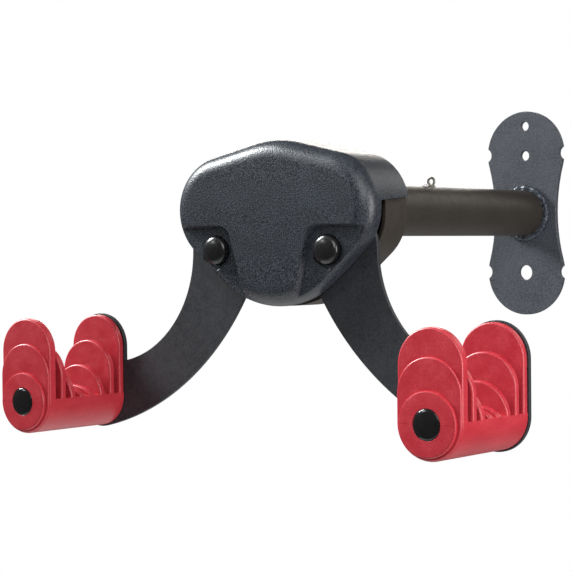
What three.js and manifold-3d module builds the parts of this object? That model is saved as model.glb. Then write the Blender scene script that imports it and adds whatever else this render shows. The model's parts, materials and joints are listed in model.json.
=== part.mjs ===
import * as THREE from 'three';
import { mergeVertices } from 'three/addons/utils/BufferGeometryUtils.js';
import Module from 'manifold-3d';

// Bike wall rack. A steel tube stands out from a wall plate and carries a covered head, in
// which two flat curved arms turn on bolts. Each arm ends in a stepped plastic cradle, and a
// bicycle's top tube lies across both cradles.
//
// Everything is drawn as seen from the front, in millimetres: x to the right, y up from the
// tube's axis and z out of the wall. The last group turns this to +Z up, wall behind at +Y.

// Clearances
const seatGap = 0.3; // between two pieces that rest on each other
const runningGap = 0.1; // round the pivot bolts, on the radius
const armFrontGap = 0.5; // between the cover's lip and the arms
const armBackGap = 6; // between the arms and the bracket's rim
const coverSideGap = 0.7; // between the bracket and the cover that sits over it
const overrun = 2; // how far a cutting tool passes the face that it cuts

// Wall plate
const plateT = 4;
const lobeR = 36.2;
const lobeRise = 49;
const waistInset = 6.7;
const notchR = 5.8;
const notchDepth = 3.5;
const topHoleR = 3.7;
const topHoleFromTop = 12.3;
const upperHoleR = 4;
const upperHoleFromLobe = 1.3; // below the middle of the plate's upper lobe
const lowerHoleR = 6.15;
const lowerHoleFromLobe = 0.4; // below the middle of the plate's lower lobe

// Tube and the smaller tube inside it
const tubeR = 19.05;
const tubeWall = 2;
const tubeLength = 302.4;
const wallWeldSize = 6;
const weldLegShare = 0.75; // how far a weld reaches along each face, beside its middle
const spigotWall = 2.4;
const spigotBeyondPin = 7.6;
const spigotWeldSize = 4;

// Ring pin and stop screw on top of the tube
const pinFromHead = 156.8; // from the tube's end at the head
const pinShankR = 2.5;
const pinShankLength = 8;
const pinFlangeR = 3.4;
const pinFlangeT = 0.7;
const eyeR = 2.75;
const eyeWireR = 0.95;
const stopScrewFromPin = 9.3;
const stopScrewR = 1.5;
const stopScrewHeadR = 2;
const stopScrewHeadH = 1.6;
const stopScrewLength = 5;

// Head outline, as corners that are then rounded
const peakRise = 49.4;
const headHalfW = 84.25;
const eaveRise = 30.4;
const chinDrop = 67.6;
const chinSlope = THREE.MathUtils.degToRad(40.5);
const pivotDrop = 28.5;
const pivotFromSide = 36.35;
const spacerWallGap = 4.35; // between a pivot's spacer and the bracket's sloping wall
const peakR = 80;
const eaveR = 38;
const jawR = 39.5;
const chinR = 73;

// Bracket, the steel cup at the end of the tube. It is inside the hood above and in line with the
// cover at the chin.
const bracketDepth = 27.5;
const bracketT = 3;

// Cover
const coverWall = 2.5;
const coverDepth = 16.5;
const coverEdgeR = 11.5;
const hoodReach = 23.5;
const hoodLineRise = 5.65;
const pocketDepth = 4.5;
const pocketSlope = 2.5;
const pocketAbovePivot = 17.1;
const tongueTopFromPivot = 13.4;
const tongueFootFromPivot = 28.8;
const tongueCornerR = 11;
const hexRecessRim = 3.8;
const hexRecessDepth = 1.2;
const capHoleGap = 0.3;
const postR = 4.5;
const upperPostX = 34;
const upperPostRise = 22;
const lowerPostFromChin = 17.3;
const coverScrewR = 2;
const coverScrewLength = 17;
const coverScrewHeadR = 4;
const coverScrewHeadH = 2.6;

// Arms
const armT = 3;
const hubR = 32.1;
const armReach = 122.8; // sideways, from the pivot to the cradle
const armFall = 106.6; // down, from the pivot to the cradle
const tabSideRim = 0.7; // how far the arm's tab shows round the cradle
const tabTopRim = 0.95;
const crotchRise = 25.8;
const armRootAngle = THREE.MathUtils.degToRad(234.9);
const armHeelAngle = THREE.MathUtils.degToRad(77.3);

// Pivot bolts, their washers and caps
const pivotBoltR = 5;
const frictionWasherR = 13;
const frictionWasherT = 1.5;
const washerR = 10.4;
const washerT = 2;
const lockWasherInset = 0.1;
const lockWasherT = 2.5;
const boltHeadAcross = 16;
const boltHeadH = 6.4;
const nutH = 8;
const boltEndBeyondNut = 2.5;
const capWall = 0.51;
const capCrownH = 4.1;
const capCrownShape = 2 / 3; // under 1, for a flatter front and a rounder shoulder
const capBoreGap = 0.15;
const spacerWall = 3;
const washerHoleGap = 0.3;

// Cradles
const finHalfW = 23.5;
const bellyDrop = 22.9;
const bellyTopRise = 2; // above the cradle's axis
const finT = 5.3;
const lastFinT = 7.1;
const finPitch = 10.25;
const finTopRise = 59.5;
const finRiseShares = [1, 0.694, 0.397, 0.165, 0.165, 0.397, 0.681, 0.995]; // from the arm outwards
const middleStepRise = 41.6;
const middleStepT = 1.5;
const frontStepR = 20.6;
const frontStepT = 2.5;
const plugHoleR = 9.9;
const plugHoleDepth = 15;
const plugSideGap = 0.3;
const plugT = 4.5;
const plugDomeH = 1.4;
const plugProud = 1.2;
const cradleBoltR = 4;
const cradleBoltHeadR = 6.5;
const cradleBoltHeadH = 5;
const cradleBoltHexR = 3.4;
const cradleBoltHexDepth = 3;
const cradleWasherSideGap = 1.5;
const cradleWasherT = 1.6;
const cradleNutAcross = 13;
const cradleNutH = 6.5;
const cradleBoltBeyondNut = 2.2;
const pegR = 2.5;
const pegLength = 2.6;

// How finely round shapes are faceted
const arcStep = THREE.MathUtils.degToRad(9);
const turnSteps = 32;
const smallTurnSteps = 20;
const wireSteps = 8;
const edgeSteps = 4;
const leastEdge = 0.2; // an outline's shorter edges are left out

// Places worked out from the sizes above, as distances from the wall
const tubeBack = plateT + seatGap;
const bracketBack = tubeBack + tubeLength + seatGap;
const bracketInside = bracketBack + bracketT;
const bracketRim = bracketBack + bracketDepth;
const armBack = bracketRim + armBackGap;
const armFront = armBack + armT;
const coverLip = armFront + armFrontGap;
const coverFace = coverLip + coverDepth;
const pocketFloor = coverFace - pocketDepth;
const hoodBack = bracketRim - hoodReach;

// Sizes and places across the wall, worked out from the sizes above
const spigotR = tubeR - tubeWall - seatGap;
const pinFromWall = tubeBack + tubeLength - pinFromHead;
const bracketInset = coverWall + coverSideGap;
const washerHoleR = pivotBoltR + washerHoleGap;
const spacerR = washerHoleR + spacerWall;
const lockWasherR = boltHeadAcross / 2 - lockWasherInset;
const capR = (boltHeadAcross / 2 + capBoreGap) / Math.cos(Math.PI / 6) + capWall;
const capHoleR = capR + capHoleGap;
const pivotX = headHalfW - pivotFromSide;
const chinLineFromPivot = bracketT + spacerR + spacerWallGap;
const jawRise = (pivotFromSide * Math.sin(chinSlope) - chinLineFromPivot) / Math.cos(chinSlope) - pivotDrop;
const chinHalfW = pivotX
  + (chinLineFromPivot - (chinDrop - pivotDrop) * Math.cos(chinSlope)) / Math.sin(chinSlope);
const tabR = finHalfW + tabSideRim;
const tabRise = finTopRise + tabTopRim - tabR;
const cradleHoleR = cradleBoltR + seatGap;
const cradleWasherR = plugHoleR - cradleWasherSideGap;
const plugR = plugHoleR - plugSideGap;

function paint(color, roughness, metalness) {
  return new THREE.MeshStandardMaterial({ color, roughness, metalness });
}

const materials = {
  plateSteel: paint('#50545a', 0.6, 0.4),
  tubeSteel: paint('#3c3833', 0.5, 0.4),
  armSteel: paint('#373b40', 0.6, 0.4),
  weld: paint('#454a55', 0.4, 0.6),
  coverPlastic: paint('#2d3037', 0.6, 0),
  capPlastic: paint('#15161a', 0.2, 0),
  cradlePlastic: paint('#be3c48', 0.45, 0),
  zinc: paint('#a9abad', 0.35, 1),
  fibre: paint('#5a4a3c', 0.9, 0),
};

// Solids

const wasm = await Module();
wasm.setup();

function toSolid(geometry) {
  const bare = geometry.clone();
  bare.deleteAttribute('normal');
  bare.deleteAttribute('uv');
  const merged = mergeVertices(bare);
  const points = merged.attributes.position;
  const corners = Array.from(merged.index.array);
  let volume = 0;
  const [a, b, c] = [new THREE.Vector3(), new THREE.Vector3(), new THREE.Vector3()];
  for (let i = 0; i < corners.length; i += 3) {
    a.fromBufferAttribute(points, corners[i]);
    b.fromBufferAttribute(points, corners[i + 1]);
    c.fromBufferAttribute(points, corners[i + 2]);
    volume += a.dot(b.cross(c));
  }
  if (volume < 0) corners.reverse();
  return new wasm.Manifold(new wasm.Mesh({
    numProp: 3,
    vertProperties: new Float32Array(points.array),
    triVerts: new Uint32Array(corners),
  }));
}

function toGeometry(solid) {
  const mesh = solid.getMesh();
  const geometry = new THREE.BufferGeometry();
  geometry.setAttribute('position', new THREE.BufferAttribute(mesh.vertProperties, 3));
  geometry.setIndex(new THREE.BufferAttribute(mesh.triVerts, 1));
  geometry.computeVertexNormals();
  return geometry;
}

const joined = (...solids) => solids.reduce((whole, piece) => whole.add(piece));
const cutBy = (solid, ...tools) => tools.reduce((whole, tool) => whole.subtract(tool), solid);

// A flat outline pushed from one distance out of the wall to another
function slab(shape, from, to) {
  const geometry = new THREE.ExtrudeGeometry(shape, { depth: to - from, bevelEnabled: false });
  return toSolid(geometry.translate(0, 0, from));
}

// A profile of [radius, distance out] points, closed on itself or ending on the axis, turned about z
function turned(profile, steps, x = 0, y = 0) {
  const geometry = new THREE.LatheGeometry(profile.map(([r, out]) => new THREE.Vector2(r, out)), steps);
  return toSolid(geometry.rotateX(Math.PI / 2).translate(x, y, 0));
}

function rod(radius, from, to, x = 0, y = 0, steps = turnSteps) {
  return turned([[0, from], [radius, from], [radius, to], [0, to]], steps, x, y);
}

function ring(innerR, outerR, from, to, steps = smallTurnSteps) {
  const profile = [[innerR, from], [outerR, from], [outerR, to], [innerR, to], [innerR, from]];
  return turned(profile, steps);
}

// A hexagonal bar with the given distance across its flats, corners up and down
function hexBar(across, from, to, x = 0, y = 0) {
  const cornerR = across / 2 / Math.cos(Math.PI / 6);
  const corners = arc(x, y, cornerR, Math.PI / 2, Math.PI * 5 / 2, Math.PI / 3).slice(1);
  return slab(new THREE.Shape(corners), from, to);
}

// Outlines

function arc(x, y, radius, start, end, step = arcStep) {
  const count = Math.max(1, Math.round(Math.abs(end - start) / step));
  const points = [];
  for (let i = 0; i <= count; i += 1) {
    const angle = start + (end - start) * i / count;
    points.push(new THREE.Vector2(x + radius * Math.cos(angle), y + radius * Math.sin(angle)));
  }
  return points;
}

// Leaves out a point that lies on the one before it, or very near it
function withoutRepeats(points) {
  return points.filter((point, i) => point.distanceTo(points.at(i - 1)) > leastEdge);
}

// Rounds a closed outline's corners. Two arcs that would meet on an edge share it.
function roundedOutline(corners, radii) {
  const count = corners.length;
  const edges = corners.map((corner, i) => corners[(i + 1) % count].clone().sub(corner));
  const turns = corners.map((corner, i) => {
    const before = edges[(i + count - 1) % count];
    const after = edges[i];
    return Math.atan2(before.cross(after), before.dot(after));
  });
  const wanted = turns.map((turn, i) => radii[i] * Math.tan(Math.abs(turn) / 2));
  const shares = edges.map((edge, i) => Math.min(1, edge.length() / (wanted[i] + wanted[(i + 1) % count])));
  const points = corners.flatMap((corner, i) => {
    const reach = wanted[i] * Math.min(shares[i], shares[(i + count - 1) % count]);
    if (reach === 0) return [corner];
    const before = edges[(i + count - 1) % count].clone().normalize();
    const radius = reach / Math.tan(Math.abs(turns[i]) / 2);
    const side = Math.sign(turns[i]);
    const start = corner.clone().addScaledVector(before, -reach);
    const centre = start.clone().add(new THREE.Vector2(-before.y, before.x).multiplyScalar(radius * side));
    const angle = Math.atan2(start.y - centre.y, start.x - centre.x);
    return arc(centre.x, centre.y, radius, angle, angle + turns[i]);
  });
  return withoutRepeats(points);
}

// Moves each edge of a closed outline inwards by its own inset. The outline runs anticlockwise, and
// an edge's inset has the place of the corner that it starts at.
function insetCorners(corners, insets) {
  const count = corners.length;
  const inwards = corners.map((corner, i) => {
    const edge = corners[(i + 1) % count].clone().sub(corner).normalize();
    return new THREE.Vector2(-edge.y, edge.x);
  });
  return corners.map((corner, i) => {
    const last = (i + count - 1) % count;
    const overlap = inwards[last].dot(inwards[i]);
    const share = 1 / (1 - overlap ** 2);
    return corner.clone()
      .addScaledVector(inwards[last], (insets[last] - insets[i] * overlap) * share)
      .addScaledVector(inwards[i], (insets[i] - insets[last] * overlap) * share);
  });
}

// The head's outline moved inwards, by another inset at the chin and its slopes if one is given
function headOutline(inset, chinInset = inset) {
  const rightSide = [
    new THREE.Vector2(chinHalfW, -chinDrop),
    new THREE.Vector2(headHalfW, jawRise),
    new THREE.Vector2(headHalfW, eaveRise),
  ];
  const peak = new THREE.Vector2(0, peakRise);
  const leftSide = rightSide.map((corner) => new THREE.Vector2(-corner.x, corner.y)).reverse();
  const insets = [chinInset, inset, inset, inset, inset, chinInset, chinInset];
  const corners = insetCorners([...rightSide, peak, ...leftSide], insets);
  const sideRadii = [chinR, jawR, eaveR];
  const radii = [...sideRadii, peakR, ...[...sideRadii].reverse()].map((radius) => radius - inset);
  return roundedOutline(corners, radii);
}

// Half of an oval as wide as a fin, from a start angle, and as tall as it is asked to be
function flatOval(height, start) {
  return arc(0, 0, 1, start, start + Math.PI)
    .map((point) => new THREE.Vector2(point.x * finHalfW, point.y * height));
}

// An outline as high as it is asked to be above the cradle's axis, and half round below it
function finOutline(rise) {
  const crown = rise > finHalfW
    ? arc(0, rise - finHalfW, finHalfW, 0, Math.PI)
    : flatOval(rise, 0);
  return withoutRepeats([...crown, ...flatOval(bellyDrop, Math.PI)]);
}

// The cradle's solid lower part, half round below its axis
function bellyOutline() {
  return [
    new THREE.Vector2(finHalfW, bellyTopRise),
    new THREE.Vector2(-finHalfW, bellyTopRise),
    ...flatOval(bellyDrop, Math.PI),
  ];
}

// Wall plate, tube and what joins them

function wallPlate() {
  const waistHalfW = lobeR - waistInset;
  const waistR = (waistInset ** 2 + lobeRise ** 2) / (2 * waistInset) - lobeR;
  const tilt = Math.atan2(lobeRise, waistHalfW + waistR);
  const outline = [
    ...arc(0, lobeRise, lobeR, -tilt, Math.PI + tilt),
    ...arc(-waistHalfW - waistR, 0, waistR, tilt, -tilt),
    ...arc(0, -lobeRise, lobeR, Math.PI - tilt, 2 * Math.PI + tilt),
    ...arc(waistHalfW + waistR, 0, waistR, Math.PI + tilt, Math.PI - tilt),
  ];
  const drill = (radius, x, y) => rod(radius, -overrun, plateT + overrun, x, y, smallTurnSteps);
  const notches = [-1, 1].flatMap((side) => [-1, 1].map((level) => (
    drill(notchR, side * (lobeR + notchR - notchDepth), level * lobeRise)
  )));
  return cutBy(
    slab(new THREE.Shape(withoutRepeats(outline)), 0, plateT),
    ...notches,
    drill(topHoleR, 0, lobeRise + lobeR - topHoleFromTop),
    drill(upperHoleR, 0, lobeRise - upperHoleFromLobe),
    drill(lowerHoleR, 0, -lobeRise - lowerHoleFromLobe),
  );
}

// A bulging weld in the corner between a flat face and a tube of the given radius
function weldBead(radius, size, faceOut) {
  const inner = radius + seatGap;
  const seat = faceOut + seatGap;
  const face = [];
  for (let i = 0; i <= edgeSteps; i += 1) {
    const angle = Math.PI / 2 * i / edgeSteps;
    const bulge = size * (weldLegShare + (1 - weldLegShare) * Math.sin(2 * angle));
    face.push([inner + bulge * Math.cos(angle), seat + bulge * Math.sin(angle)]);
  }
  return turned([[inner, seat], ...face, [inner, seat]], turnSteps);
}

// A drill that stands on the tube's axis, z out of the wall at the given distance
function uprightDrill(radius, fromWall, bottom, top) {
  const geometry = new THREE.CylinderGeometry(radius, radius, top - bottom, smallTurnSteps);
  return toSolid(geometry.translate(0, (bottom + top) / 2, fromWall));
}

const stopScrewFromWall = pinFromWall + stopScrewFromPin;
const pinHoles = () => [
  uprightDrill(pinShankR + seatGap, pinFromWall, 0, tubeR + overrun),
  uprightDrill(stopScrewR + seatGap, stopScrewFromWall, 0, tubeR + overrun),
];

function wallTube() {
  return cutBy(ring(tubeR - tubeWall, tubeR, tubeBack, tubeBack + tubeLength, turnSteps), ...pinHoles());
}

function headSpigot() {
  const back = pinFromWall - spigotBeyondPin;
  const front = bracketInside + seatGap + spigotWeldSize;
  return cutBy(ring(spigotR - spigotWall, spigotR, back, front, turnSteps), ...pinHoles());
}

function ringPin() {
  const seat = tubeR + seatGap;
  const eyeCentre = seat + pinFlangeT + eyeR + eyeWireR / 2;
  const eye = new THREE.TorusGeometry(eyeR, eyeWireR, wireSteps, smallTurnSteps);
  return joined(
    uprightDrill(pinShankR, pinFromWall, seat - pinShankLength, seat + pinFlangeT / 2),
    uprightDrill(pinFlangeR, pinFromWall, seat, seat + pinFlangeT),
    toSolid(eye.translate(0, eyeCentre, pinFromWall)),
  );
}

function stopScrew() {
  const seat = tubeR + seatGap;
  return joined(
    uprightDrill(stopScrewR, stopScrewFromWall, seat - stopScrewLength, seat + stopScrewHeadH / 2),
    uprightDrill(stopScrewHeadR, stopScrewFromWall, seat, seat + stopScrewHeadH),
  );
}

// Head

const coverPosts = [
  { name: 'upper_left', x: -upperPostX, y: upperPostRise },
  { name: 'upper_right', x: upperPostX, y: upperPostRise },
  { name: 'lower', x: 0, y: lowerPostFromChin - chinDrop },
];
const pivots = [-1, 1].map((side) => ({
  side,
  name: side < 0 ? 'left' : 'right',
  x: side * pivotX,
  y: -pivotDrop,
}));

function headBracket() {
  const drill = (radius, x, y) => rod(radius, bracketBack - overrun, bracketInside + overrun, x, y);
  const outside = new THREE.Shape(headOutline(bracketInset, 0));
  const inside = new THREE.Shape(headOutline(bracketInset + bracketT, bracketT));
  return cutBy(
    slab(outside, bracketBack, bracketRim),
    slab(inside, bracketInside, bracketRim + overrun),
    drill(spigotR + seatGap, 0, 0),
    ...pivots.map(({ x, y }) => drill(pivotBoltR + washerHoleGap, x, y)),
    ...coverPosts.map(({ x, y }) => drill(coverScrewR + seatGap, x, y)),
  );
}

// A block with the head's outline and a rounded front edge, from one distance out to another
function roundedHead(inset, edgeR, from, to) {
  const depth = to - edgeR - from;
  const geometry = new THREE.ExtrudeGeometry(new THREE.Shape(headOutline(inset)), {
    depth,
    bevelEnabled: true,
    bevelThickness: edgeR,
    bevelSize: edgeR,
    bevelOffset: -edgeR,
    bevelSegments: edgeSteps,
  });
  return toSolid(geometry.translate(0, 0, from));
}

// A pocket's outline on one side of the tongue, made smaller by an inset on the tongue's side
function pocketShape(side, inset) {
  const beyond = headHalfW + overrun;
  const foot = -chinDrop - overrun;
  const top = pocketAbovePivot - pivotDrop - inset;
  const corners = [
    new THREE.Vector2(pivotX - tongueTopFromPivot + inset, top),
    new THREE.Vector2(pivotX - tongueFootFromPivot + inset, foot),
    new THREE.Vector2(beyond, foot),
    new THREE.Vector2(beyond, top),
  ];
  const points = roundedOutline(corners, [tongueCornerR, 0, 0, 0]);
  return new THREE.Shape(points.map((point) => new THREE.Vector2(side * point.x, point.y)));
}

function pocketCutter(side) {
  const geometry = new THREE.ExtrudeGeometry(pocketShape(side, 0), {
    depth: overrun,
    bevelEnabled: true,
    bevelThickness: pocketDepth,
    bevelSize: pocketSlope,
    bevelOffset: -pocketSlope,
    bevelSegments: 1,
  });
  return toSolid(geometry.translate(0, 0, coverFace));
}

function frontCover() {
  const width = 2 * (headHalfW + overrun);
  const skirt = new THREE.BoxGeometry(width, chinDrop + hoodLineRise + overrun, coverLip)
    .translate(0, (hoodLineRise - chinDrop - overrun) / 2, coverLip / 2);
  const behindHood = new THREE.BoxGeometry(width, 2 * (chinDrop + peakRise), hoodBack)
    .translate(0, 0, hoodBack / 2);
  const start = hoodBack - coverEdgeR;
  const shell = cutBy(
    roundedHead(0, coverEdgeR, start, coverFace),
    roundedHead(coverWall, coverEdgeR - coverWall, start, coverFace - coverWall),
    toSolid(behindHood),
    toSolid(skirt),
  );
  const floors = pivots.map(({ side }) => (
    slab(pocketShape(side, -coverWall), pocketFloor - coverWall, pocketFloor + overrun)
      .intersect(roundedHead(0, coverEdgeR, start, coverFace))
  ));
  const posts = coverPosts.map(({ x, y }) => (
    rod(postR, bracketInside + seatGap, coverFace - coverWall / 2, x, y, smallTurnSteps)
  ));
  const hexAcross = 2 * (capHoleR + hexRecessRim) * Math.cos(Math.PI / 6);
  return cutBy(
    joined(shell, ...floors, ...posts),
    ...pivots.map(({ side }) => pocketCutter(side)),
    ...pivots.map(({ x, y }) => hexBar(hexAcross, pocketFloor - hexRecessDepth, coverFace, x, y)),
    ...pivots.map(({ x, y }) => rod(capHoleR, pocketFloor - coverWall - overrun, coverFace, x, y)),
    ...coverPosts.map(({ x, y }) => rod(
      coverScrewR + seatGap, bracketInside, bracketBack + coverScrewLength + overrun, x, y, smallTurnSteps,
    )),
  );
}

function coverScrew({ x, y }) {
  const seat = bracketBack - seatGap;
  const tip = seat + coverScrewLength;
  return turned([
    [0, seat - coverScrewHeadH],
    [coverScrewHeadR / 2, seat - coverScrewHeadH],
    [coverScrewHeadR, seat - coverScrewHeadH / 2],
    [coverScrewHeadR, seat],
    [coverScrewR, seat],
    [coverScrewR, tip - coverScrewR],
    [0, tip],
  ], smallTurnSteps, x, y);
}

// Pivot hardware, in its order from the wall outwards

const frictionBackTop = armBack - seatGap;
const spacerTop = frictionBackTop - frictionWasherT - seatGap;
const backWasherTop = bracketBack - seatGap;
const nutTop = backWasherTop - washerT - seatGap;
const boltEnd = nutTop - nutH - boltEndBeyondNut;
const frontFrictionBack = armFront + seatGap;
const frontWasherBack = frontFrictionBack + frictionWasherT + seatGap;
const lockWasherBack = frontWasherBack + washerT + seatGap;
const boltHeadBack = lockWasherBack + lockWasherT + seatGap;
const capSeat = lockWasherBack;
const capInside = boltHeadBack + boltHeadH + seatGap;

function pivotBolt() {
  return joined(
    rod(pivotBoltR, boltEnd, boltHeadBack + boltHeadH / 2),
    hexBar(boltHeadAcross, boltHeadBack, boltHeadBack + boltHeadH),
  );
}

function boltCap() {
  const profile = [[0, capSeat], [capR, capSeat], [capR, capInside]];
  for (let i = 1; i < edgeSteps; i += 1) {
    const angle = Math.PI / 2 * i / edgeSteps;
    const reach = capR * Math.cos(angle) ** capCrownShape;
    profile.push([reach, capInside + capCrownH * Math.sin(angle) ** capCrownShape]);
  }
  profile.push([0, capInside + capCrownH]);
  const bore = hexBar(boltHeadAcross + 2 * capBoreGap, capSeat - overrun, capInside);
  return cutBy(turned(profile, turnSteps), bore);
}

const pivotPieces = [
  ['pivot_nut', 'zinc', () => cutBy(
    hexBar(boltHeadAcross, nutTop - nutH, nutTop),
    rod(washerHoleR, nutTop - nutH - overrun, nutTop + overrun),
  )],
  ['pivot_back_washer', 'zinc', () => ring(washerHoleR, washerR, backWasherTop - washerT, backWasherTop)],
  ['pivot_spacer', 'zinc', () => ring(washerHoleR, spacerR, bracketInside + seatGap, spacerTop)],
  ['pivot_back_friction_washer', 'fibre', () => (
    ring(washerHoleR, frictionWasherR, frictionBackTop - frictionWasherT, frictionBackTop)
  )],
  ['pivot_front_friction_washer', 'fibre', () => (
    ring(washerHoleR, frictionWasherR, frontFrictionBack, frontFrictionBack + frictionWasherT)
  )],
  ['pivot_front_washer', 'zinc', () => (
    ring(washerHoleR, washerR, frontWasherBack, frontWasherBack + washerT)
  )],
  ['pivot_lock_washer', 'zinc', () => (
    ring(washerHoleR, lockWasherR, lockWasherBack, lockWasherBack + lockWasherT)
  )],
  ['pivot_bolt', 'zinc', pivotBolt],
  ['pivot_cap', 'capPlastic', boltCap],
];

// Arms, each drawn about its own pivot

function armOutline() {
  const tab = new THREE.Vector2(armReach, -armFall);
  const crotch = new THREE.Vector2(tab.x - tabR, tab.y + crotchRise);
  const span = crotch.x - hubR;
  const innerR = (span ** 2 + crotch.y ** 2) / (2 * span);
  const innerEnd = Math.PI + Math.atan2(-crotch.y, hubR + innerR - crotch.x);
  const root = new THREE.Vector2(hubR * Math.cos(armRootAngle), hubR * Math.sin(armRootAngle));
  const heel = new THREE.Vector2(Math.cos(armHeelAngle), Math.sin(armHeelAngle));
  const toRoot = root.clone().sub(tab);
  const reach = (toRoot.lengthSq() - tabR ** 2) / (2 * (toRoot.dot(heel) + tabR));
  const outer = tab.clone().addScaledVector(heel, reach);
  const outerR = reach + tabR;
  const heelEnd = armHeelAngle + Math.PI;
  const rootEnd = Math.atan2(root.y - outer.y, root.x - outer.x) + 2 * Math.PI;
  return withoutRepeats([
    ...arc(0, 0, hubR, armRootAngle, 0),
    ...arc(hubR + innerR, 0, innerR, Math.PI, innerEnd),
    ...arc(tab.x, tab.y + tabRise, tabR, Math.PI, 0),
    ...arc(tab.x, tab.y, tabR, 0, heelEnd - 2 * Math.PI),
    ...arc(outer.x, outer.y, outerR, heelEnd, rootEnd, arcStep / 2),
  ]);
}

function armPlate(side) {
  const outline = armOutline().map((point) => new THREE.Vector2(side * point.x, point.y));
  const drill = (radius, x, y) => rod(radius, armBack - overrun, armFront + overrun, x, y);
  return cutBy(
    slab(new THREE.Shape(outline), armBack, armFront),
    drill(pivotBoltR + runningGap, 0, 0),
    drill(cradleHoleR, side * armReach, -armFall),
    drill(pegR + seatGap, side * armReach, tabRise - armFall),
  );
}

// Cradle and its bolt, drawn about the cradle's own axis

const cradleBack = armFront + seatGap;
const lastFin = cradleBack + finPitch * (finRiseShares.length - 1);
const finFront = lastFin + lastFinT;
const middleStepFront = finFront + middleStepT;
const cradleFront = middleStepFront + frontStepT;
const plugHoleFloor = cradleFront - plugHoleDepth;
const cradleWasherBack = plugHoleFloor + seatGap;
const cradleHeadBack = cradleWasherBack + cradleWasherT + seatGap;
const armWasherTop = armBack - seatGap;
const cradleNutTop = armWasherTop - cradleWasherT - seatGap;
const cradleBoltEnd = cradleNutTop - cradleNutH - cradleBoltBeyondNut;
const plugFront = cradleFront + plugProud;

function cradle() {
  const fins = finRiseShares.map((share, i) => {
    const back = cradleBack + finPitch * i;
    const front = back < lastFin ? back + finT : finFront;
    return slab(new THREE.Shape(finOutline(finTopRise * share)), back, front);
  });
  const body = joined(
    slab(new THREE.Shape(bellyOutline()), cradleBack, finFront),
    ...fins,
    slab(new THREE.Shape(finOutline(middleStepRise)), lastFin + finT / 2, middleStepFront),
    rod(frontStepR, lastFin + finT / 2, cradleFront),
    rod(pegR, cradleBack - pegLength, cradleBack + finT / 2, 0, tabRise, smallTurnSteps),
  );
  return cutBy(
    body,
    rod(plugHoleR, plugHoleFloor, cradleFront + overrun),
    rod(cradleHoleR, cradleBack - overrun, plugHoleFloor + overrun, 0, 0, smallTurnSteps),
  );
}

function cradleBolt() {
  const top = cradleHeadBack + cradleBoltHeadH;
  const body = turned([
    [0, cradleBoltEnd],
    [cradleBoltR, cradleBoltEnd],
    [cradleBoltR, cradleHeadBack],
    [cradleBoltHeadR, cradleHeadBack],
    [cradleBoltHeadR, top],
    [0, top],
  ], smallTurnSteps);
  return cutBy(body, hexBar(2 * cradleBoltHexR, top - cradleBoltHexDepth, top + overrun));
}

function rodEndPlug() {
  const profile = [[0, plugFront - plugT], [plugR, plugFront - plugT], [plugR, plugFront - plugDomeH]];
  for (let i = 1; i < edgeSteps; i += 1) {
    const angle = Math.PI / 2 * i / edgeSteps;
    profile.push([plugR * Math.cos(angle), plugFront - plugDomeH * (1 - Math.sin(angle))]);
  }
  profile.push([0, plugFront]);
  return turned(profile, turnSteps);
}

const cradlePieces = [
  ['cradle', 'cradlePlastic', cradle],
  ['cradle_bolt', 'zinc', cradleBolt],
  ['cradle_bolt_washer', 'zinc', () => (
    ring(cradleHoleR, cradleWasherR, cradleWasherBack, cradleWasherBack + cradleWasherT)
  )],
  ['cradle_plug', 'capPlastic', rodEndPlug],
  ['cradle_nut_washer', 'zinc', () => (
    ring(cradleHoleR, cradleWasherR, armWasherTop - cradleWasherT, armWasherTop)
  )],
  ['cradle_nut', 'zinc', () => cutBy(
    hexBar(cradleNutAcross, cradleNutTop - cradleNutH, cradleNutTop),
    rod(cradleHoleR, cradleNutTop - cradleNutH - overrun, cradleNutTop + overrun, 0, 0, smallTurnSteps),
  )],
];

// Assembly

function piece(name, material, solid) {
  const mesh = new THREE.Mesh(toGeometry(solid), materials[material].clone());
  mesh.name = name;
  return mesh;
}

// The pieces of a list for one side, named after that side
function pieces(side, list) {
  return list.map(([label, material, make]) => piece(`${side}_${label}`, material, make()));
}

const rack = new THREE.Group();
rack.add(
  piece('wall_plate', 'plateSteel', wallPlate()),
  piece('wall_tube', 'tubeSteel', wallTube()),
  piece('wall_weld_bead', 'weld', weldBead(tubeR, wallWeldSize, plateT)),
  piece('head_spigot', 'zinc', headSpigot()),
  piece('spigot_weld_bead', 'weld', weldBead(spigotR, spigotWeldSize, bracketInside)),
  piece('ring_pin', 'zinc', ringPin()),
  piece('stop_screw', 'zinc', stopScrew()),
  piece('head_bracket', 'tubeSteel', headBracket()),
  piece('front_cover', 'coverPlastic', frontCover()),
  ...coverPosts.map((post) => piece(`cover_screw_${post.name}`, 'zinc', coverScrew(post))),
);

for (const { side, name, x, y } of pivots) {
  const pivot = new THREE.Group();
  pivot.position.set(x, y, 0);
  pivot.add(...pieces(name, pivotPieces));
  pivot.add(piece(`${name}_arm_plate`, 'armSteel', armPlate(side)));
  const cradleGroup = new THREE.Group();
  cradleGroup.position.set(side * armReach, -armFall, 0);
  cradleGroup.add(...pieces(name, cradlePieces));
  pivot.add(cradleGroup);
  rack.add(pivot);
}

// Turns the drawing up: out of the wall becomes -Y, up becomes +Z
rack.rotation.x = Math.PI / 2;

export default rack;
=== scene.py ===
import json
from math import acos, atan2, copysign, cos, pi, radians, sin, tan

import bmesh
import bpy
import numpy as np
from numpy.linalg import norm
from mathutils import Matrix, Vector
from mathutils.geometry import delaunay_2d_cdt, tessellate_polygon

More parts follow.
